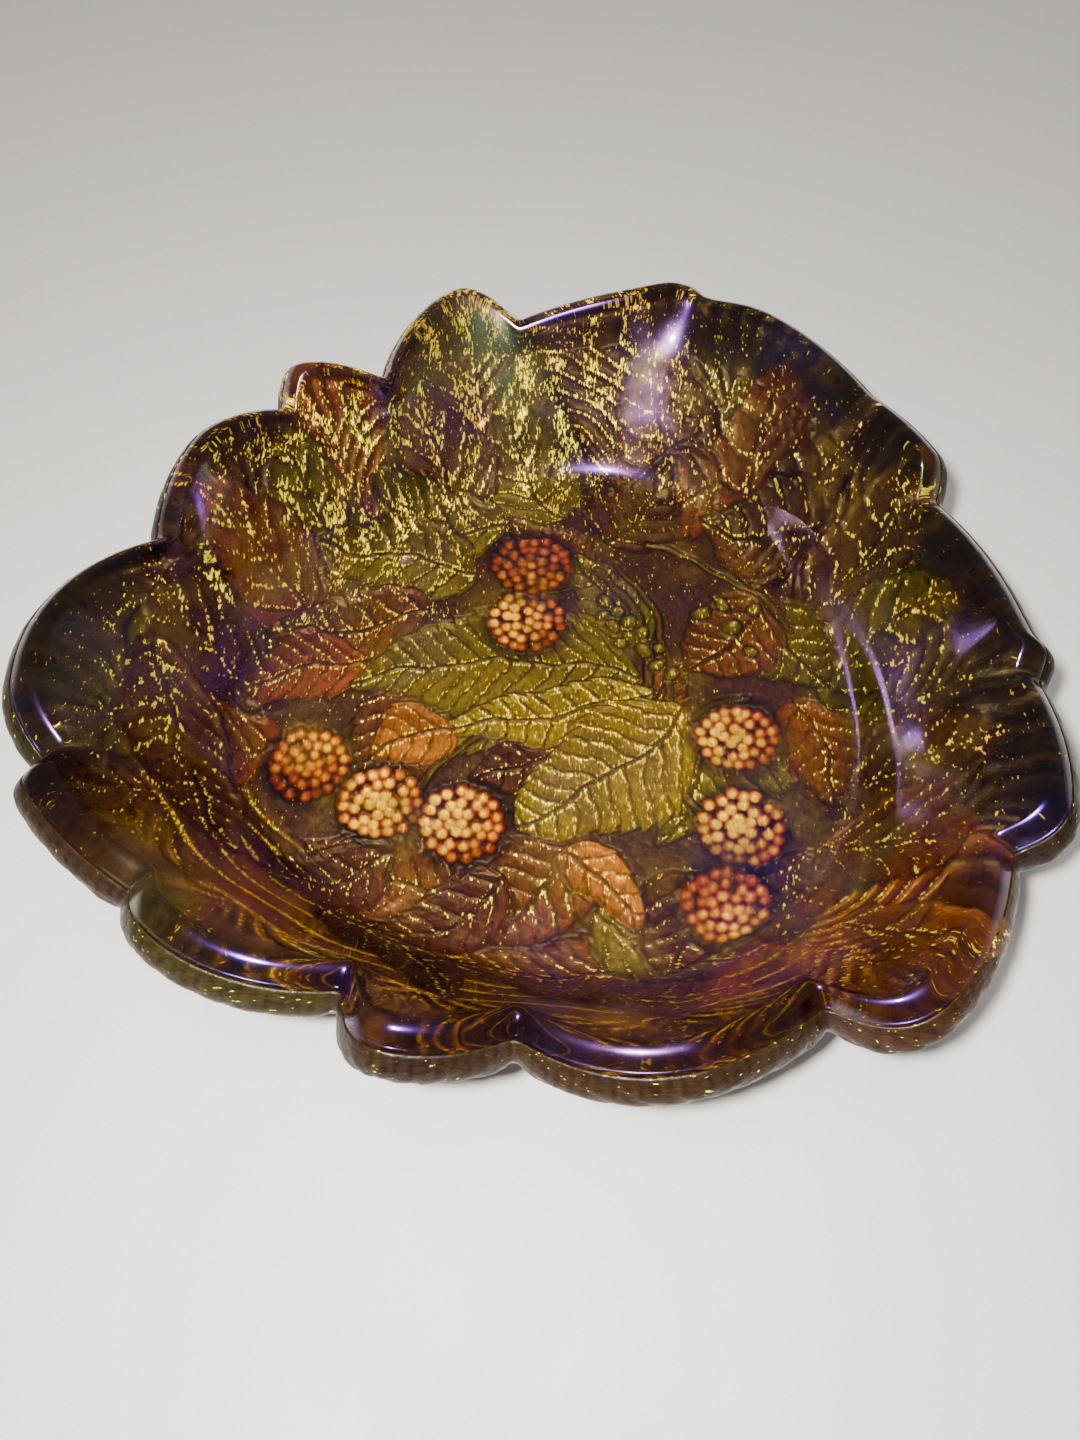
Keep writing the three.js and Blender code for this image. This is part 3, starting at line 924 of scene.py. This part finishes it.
class Nodes:
    """Short calls for building one material."""

    def __init__(self, name):
        self.material = bpy.data.materials.new(name)
        self.material.use_nodes = True
        self.tree = self.material.node_tree
        self.shader = self.tree.nodes["Principled BSDF"]
        self.output = self.tree.nodes["Material Output"]

    def set(self, **values):
        """Sets the shader's plain inputs, named with underscores for spaces."""
        for key, value in values.items():
            self.shader.inputs[key.replace("_", " ")].default_value = value

    def link(self, source, target):
        self.tree.links.new(source, target)

    def feed(self, socket_name, source):
        """Links a node's output to one of the shader's inputs."""
        self.link(source, self.shader.inputs[socket_name])

    def give(self, socket, value):
        """Links the socket to another node's output, or sets it to a plain value."""
        if isinstance(value, bpy.types.NodeSocket):
            self.link(value, socket)
        else:
            socket.default_value = value

    def node(self, kind, **inputs):
        """A new node with those inputs given."""
        made = self.tree.nodes.new(kind)
        for key, value in inputs.items():
            self.give(made.inputs[key], value)
        return made

    def attribute(self, name):
        made = self.tree.nodes.new("ShaderNodeAttribute")
        made.attribute_name = name
        return made

    def object_coordinates(self):
        return self.tree.nodes.new("ShaderNodeTexCoord").outputs["Object"]

    def noise(self, vector, scale, detail=2.0, roughness=0.5, distortion=0.0):
        made = self.node(
            "ShaderNodeTexNoise",
            Vector=vector,
            Scale=scale,
            Detail=detail,
            Roughness=roughness,
            Distortion=distortion,
        )
        return made.outputs["Fac"]

    def stretched(self, vector, stretch):
        """Fine noise drawn out along the axes whose stretch is small."""
        scaled = self.tree.nodes.new("ShaderNodeVectorMath")
        scaled.operation = "MULTIPLY"
        self.link(vector, scaled.inputs[0])
        scaled.inputs[1].default_value = stretch
        dashes_per_metre = 2300
        return self.noise(scaled.outputs[0], dashes_per_metre, 2, roughness=0.55, distortion=0.1)

    def distance(self, vector, centre):
        """The distance in metres from a centre in millimetres."""
        made = self.tree.nodes.new("ShaderNodeVectorMath")
        made.operation = "DISTANCE"
        self.link(vector, made.inputs[0])
        made.inputs[1].default_value = [value * MM for value in centre]
        return made.outputs["Value"]

    def mapped(self, value, low, high, to_low=0.0, to_high=1.0):
        """A value between low and high moved to between to_low and to_high."""
        made = self.tree.nodes.new("ShaderNodeMapRange")
        self.link(value, made.inputs["Value"])
        made.inputs["From Min"].default_value = low
        made.inputs["From Max"].default_value = high
        made.inputs["To Min"].default_value = to_low
        made.inputs["To Max"].default_value = to_high
        return made.outputs["Result"]

    def maths(self, operation, first, second):
        made = self.tree.nodes.new("ShaderNodeMath")
        made.operation = operation
        self.give(made.inputs[0], first)
        self.give(made.inputs[1], second)
        return made.outputs[0]

    def mixed(self, first, second, factor, blend="MIX"):
        """The first colour at a factor of 0 and the second at 1; plain colours are tuples."""
        factor_input, first_input, second_input, colour_output = 0, 6, 7, 2
        made = self.tree.nodes.new("ShaderNodeMix")
        made.data_type = "RGBA"
        made.blend_type = blend
        self.give(made.inputs[factor_input], factor)
        for number, colour in ((first_input, first), (second_input, second)):
            self.give(made.inputs[number], (*colour, 1) if isinstance(colour, tuple) else colour)
        return made.outputs[colour_output]

    def ramp(self, value, stops):
        """Colours that run into each other; each stop is a place from 0 to 1 and its colour."""
        made = self.tree.nodes.new("ShaderNodeValToRGB")
        self.link(value, made.inputs["Fac"])
        elements = made.color_ramp.elements
        while len(elements) < len(stops):
            elements.new(0.5)
        for element, (position, colour) in zip(elements, stops, strict=True):
            element.position = position
            element.color = (*colour, 1)
        return made.outputs["Color"]

    def bump(self, height, strength, distance):
        made = self.node("ShaderNodeBump", Height=height, Strength=strength, Distance=distance)
        return made.outputs["Normal"]


def amber_glass():
    """Clear glass that absorbs a little blue; it lets light through to what it would shade."""
    n = Nodes("amber_glass")
    place_on = n.object_coordinates()
    n.set(Base_Color=(1.0, 0.95, 0.86, 1), Transmission_Weight=1.0, IOR=1.5)
    n.feed("Roughness", n.mapped(n.noise(place_on, scale=90, detail=4), 0.35, 0.75, 0.01, 0.05))
    n.feed("Normal", n.bump(n.noise(place_on, scale=40, detail=2), 0.05, 0.002))
    shadow = n.tree.nodes.new("ShaderNodeLightPath").outputs["Is Shadow Ray"]
    n.feed("Alpha", n.mapped(shadow, 0, 1, 1.0, 0.05))
    volume = n.node("ShaderNodeVolumeAbsorption", Color=(0.85, 0.79, 0.62, 1), Density=300.0)
    n.link(volume.outputs[0], n.output.inputs["Volume"])
    return n.material


def clouded(n, place_on, pressed_and_painted_light, lip):
    """The pressed colour with its painted light and shade, with dark red and olive clouds over it, but
    hardly any on the lip.
    """
    clouds = n.mapped(n.noise(place_on, scale=90, detail=4, roughness=0.6), 0.42, 0.66, 0.0, 0.6)
    clouds = n.maths("MULTIPLY", clouds, n.mapped(lip, 0, 1, 1, 0.15))
    red_or_olive = n.mapped(n.noise(place_on, scale=45, detail=2), 0.4, 0.6)
    return n.mixed(pressed_and_painted_light, n.mixed(RED_CLOUD, OLIVE_CLOUD, red_or_olive), clouds)


def gold_lustre():
    """The outside's lustre: the pressed colours with their painted light and shade, and painted gold
    glints of the lustre where the glint mask and fine dashes meet.
    """
    n = Nodes("gold_lustre")
    place_on = n.object_coordinates()
    gilding_and_glints = n.attribute("gilding_and_glints").outputs["Fac"]
    pressed_and_painted_light = n.attribute("pressed_and_painted_light").outputs["Color"]
    near_wall = n.attribute("near_wall").outputs["Fac"]
    # Fine dashes, drawn out up the bowl and round the near wall, make the painted gold glints.
    dashes_up = n.stretched(place_on, (1, 0.26, 0.26))
    dashes_round = n.stretched(place_on, (0.2, 1, 1))
    dashes = n.mixed(dashes_up, dashes_round, near_wall)
    flecks = n.noise(place_on, scale=700, detail=1)
    wanted = n.maths("ADD", dashes, n.mapped(gilding_and_glints, 0, 1, -0.13, 0.15))
    gold = n.maths("MULTIPLY", n.mapped(wanted, 0.605, 0.625), n.mapped(flecks, 0.34, 0.42))
    body = clouded(n, place_on, pressed_and_painted_light, n.attribute("lip").outputs["Fac"])
    hair = n.mapped(dashes, 0.3, 0.6, 0.55, 1.15)
    hairs = n.node("ShaderNodeCombineColor", Red=hair, Green=hair, Blue=hair).outputs[0]
    body = n.mixed(body, hairs, 1.0, "MULTIPLY")
    glint_gold = n.ramp(n.noise(place_on, scale=50, detail=2), GLINT_GOLDS)
    n.feed("Base Color", n.mixed(body, glint_gold, gold))
    n.feed("Metallic", n.mapped(gold, 0, 1, 0.2, 0.4))
    n.feed("Roughness", n.mapped(n.noise(place_on, scale=350, detail=3), 0.3, 0.7, 0.25, 0.5))
    n.feed("Alpha", n.attribute("cover").outputs["Fac"])
    n.set(Specular_IOR_Level=0.2)
    n.feed("Normal", n.bump(n.noise(place_on, scale=700, detail=3, roughness=0.6), 0.35, 0.0006))
    return n.material


def violet_lustre():
    """The inside's lustre: a thin metallic film in patches, strongest where it is seen at a slant."""
    n = Nodes("violet_lustre")
    place_on = n.object_coordinates()
    patches = n.noise(place_on, scale=22, detail=3, roughness=0.55, distortion=0.6)
    n.feed("Base Color", n.ramp(patches, FILM_COLOURS))
    n.set(Metallic=1.0)
    n.feed("Roughness", n.mapped(n.noise(place_on, scale=120, detail=4), 0.35, 0.75, 0.16, 0.28))
    weight = n.node("ShaderNodeLayerWeight", Blend=0.15)
    spread = n.mapped(n.noise(place_on, scale=30, detail=3, roughness=0.5, distortion=0.4), 0.48, 0.64)
    for centre, radius, gain in FILM_PATCHES:
        patch = n.mapped(n.distance(place_on, centre), 0, radius * MM, gain, 0)
        spread = n.maths("ADD", spread, patch)
    strength = n.maths("MULTIPLY", n.mapped(weight.outputs["Fresnel"], 0, 1, 0.25, 1.0), spread)
    n.feed("Alpha", n.mapped(strength, 0, 1, 0.01, 0.26))
    n.feed("Normal", n.bump(n.noise(place_on, scale=40, detail=2), 0.05, 0.002))
    return n.material


def pale_floor():
    """A pale, slightly uneven table top."""
    n = Nodes("pale_floor")
    place_on = n.object_coordinates()
    clouds = n.noise(place_on, scale=3, detail=4)
    n.feed("Base Color", n.mixed((0.54, 0.52, 0.5), (0.49, 0.47, 0.45), clouds))
    n.feed("Roughness", n.mapped(n.noise(place_on, scale=40, detail=3), 0.3, 0.7, 0.5, 0.62))
    return n.material


# ---- The pieces ----


def bowl_grids():
    """Points of the inside, the lip and the outside with its relief, and the relief itself."""
    inner = round_the_centre(inner_rows())
    lip = round_the_centre(lip_rows())
    outer = round_the_centre(outer_rows())
    lip_face = LIP_FACE_STEPS * LIP_ROWS
    under_lip = np.linspace(1, LIP_MEETS_WALL, lip_face, endpoint=False)
    along = np.concatenate([under_lip, outer_alongs(), np.linspace(0, -1, UNDERSIDE_ROWS)])
    outer = np.concatenate([lip[-lip_face:], outer])
    lip = lip[:-lip_face]
    relief = outer_relief(outer, along)
    fade = smooth(along, 1, LIP_MEETS_WALL)[:, None]
    relief.height += SURFACE_RIPPLE * relief.ripple
    normals = normals_of(outer)
    outer = outer + normals * (relief.height * fade)[..., None]
    outer[..., 2] = np.maximum(outer[..., 2], 0)
    return inner, lip, outer, relief


def shift_to_model(points, lip):
    """From millimetres about the bowl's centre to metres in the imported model, middle over middle."""
    low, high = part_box("glass_bowl")
    middle = (low + high) / 2
    own = (lip.reshape(-1, 3).min(axis=0) + lip.reshape(-1, 3).max(axis=0)) / 2
    shift = np.array([middle.x - own[0] * MM, middle.y - own[1] * MM, 0])
    return points * MM + shift


def pressed_glass(inner, lip, outer):
    """The whole glass body as one closed skin."""
    grid = np.concatenate([inner, lip, outer])
    points = np.concatenate([grid.reshape(-1, 3), [middle_of(inner[0]), middle_of(outer[-1])]])
    last_row = (len(grid) - 1) * len(ANGLES)
    caps = np.concatenate([fan(len(points) - 2, 0, True), fan(len(points) - 1, last_row, False)])
    mesh = build_mesh("pressed_glass", shift_to_model(points, lip), strips(len(grid)), caps)
    return place("pressed_glass", mesh, amber_glass())


def relief_lustre(outer, relief, lip_rim):
    """The outside's lustre just within the glass, and over it on the face of the lip, where it carries
    the lip's painted shadow.
    """
    normals = normals_of(outer)
    on_lip = smooth(relief.along, LIP_MEETS_WALL, LIP_MEETS_WALL + 0.03)[:, None, None]
    skin = outer + mix(-SKIN_DEPTH, LIP_SKIN_RISE, on_lip) * normals
    thickness = mix(SKIN_THICKNESS, SKIN_DEPTH + SKIN_THICKNESS + LIP_SKIN_RISE, on_lip)
    points, quads, caps = solid_shell(skin, thickness, -1)
    mesh = build_mesh("relief_lustre", shift_to_model(points, lip_rim), quads, caps)
    cover = np.maximum(smooth(relief.along, 1.0, 0.97)[:, None], 0.85 + 0.15 * relief.gilding_and_glints)
    lip = np.broadcast_to(on_lip[..., 0], relief.gilding_and_glints.shape)
    add_colours(mesh, "pressed_and_painted_light", over_shell(relief.colour.reshape(-1, 3)))
    add_values(mesh, "gilding_and_glints", over_shell(relief.gilding_and_glints.reshape(-1)))
    add_values(mesh, "cover", over_shell(cover.reshape(-1)))
    add_values(mesh, "near_wall", over_shell(smooth(-relief.y, 50, 62).reshape(-1)))
    add_values(mesh, "lip", over_shell(lip.reshape(-1)))
    return place("relief_lustre", mesh, gold_lustre())


def inside_lustre(inner, lip):
    """A film just above the inside and over the lip."""
    rows = np.concatenate([inner, lip])
    far = rows + (FILM_GAP + FILM_THICKNESS) * normals_of(rows)
    points, quads, caps = solid_shell(far, FILM_THICKNESS, 0)
    mesh = build_mesh("inside_lustre", shift_to_model(points, lip), quads, caps)
    return place("inside_lustre", mesh, violet_lustre())


def build_bowl():
    """The glass and its two lustres, put under the root body in place of their nodes of the part, which
    are hidden.
    """
    inner, lip, outer, relief = bowl_grids()
    glass = pressed_glass(inner, lip, outer)
    skin = relief_lustre(outer, relief, lip)
    film = inside_lustre(inner, lip)
    for piece, node, slot in (
        (glass, "glass_bowl", "amber_glass"),
        (skin, "lustre_outside", "gold_lustre"),
        (film, "lustre_inside", "violet_lustre"),
    ):
        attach(piece, "root")
        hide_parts(node)


# ---- Stage, lights and camera ----


def lay_floor():
    """The table top, which is not part of the bowl."""
    mesh = bpy.data.meshes.new("floor")
    half = FLOOR_HALF_WIDTH
    corners = [(-half, -half, 0), (half, -half, 0), (half, half, 0), (-half, half, 0)]
    mesh.from_pydata(corners, [], [(0, 1, 2, 3)])
    floor = place("floor", mesh, pale_floor())


def add_light(name, at, size, power, colour=WARM_WHITE, aimed_at=(0, 0, 0), mirrored=False):
    """A round lamp; mirrored says whether glossy surfaces show it."""
    data = bpy.data.lights.new(name, "AREA")
    data.shape = "DISK"
    data.size = size
    data.energy = power
    data.color = colour
    light = bpy.data.objects.new(name, data)
    light.location = at
    light.visible_glossy = mirrored
    aim = Vector(aimed_at) - Vector(at)
    light.rotation_euler = aim.to_track_quat("-Z", "Y").to_euler()
    bpy.context.scene.collection.objects.link(light)


def light_scene():
    """A dim room, a small flash by the camera and three large lamps that the glass does not mirror."""
    world = bpy.data.worlds.new("studio")
    world.use_nodes = True
    background = world.node_tree.nodes["Background"]
    background.inputs["Color"].default_value = ROOM_COLOUR
    background.inputs["Strength"].default_value = ROOM_BRIGHTNESS
    bpy.context.scene.world = world
    add_light(
        "flash",
        (-0.03, -0.15, 0.27),
        size=0.02,
        power=3.9,
        colour=FLASH_WHITE,
        aimed_at=(0, 0.02, 0),
        mirrored=True,
    )
    add_light("overhead", (-0.1, -0.05, 1.3), size=0.5, power=9)
    add_light("soft_box", (-1.7, -1.4, 0.65), size=1.0, power=20)
    add_light("fill", (1.9, 1.3, 0.5), size=1.2, power=16, colour=COOL_WHITE)


def add_camera():
    """Looks down into the bowl from in front of it."""
    data = bpy.data.cameras.new("camera")
    data.sensor_width = SENSOR_WIDTH
    data.lens = FOCAL_LENGTH
    data.clip_start = 0.01
    camera = bpy.data.objects.new("camera", data)
    camera.location = CAMERA_PLACE
    camera.rotation_euler = (math.radians(CAMERA_TILT), 0, 0)
    bpy.context.scene.collection.objects.link(camera)
    bpy.context.scene.camera = camera


add_camera()
light_scene()
lay_floor()
build_bowl()
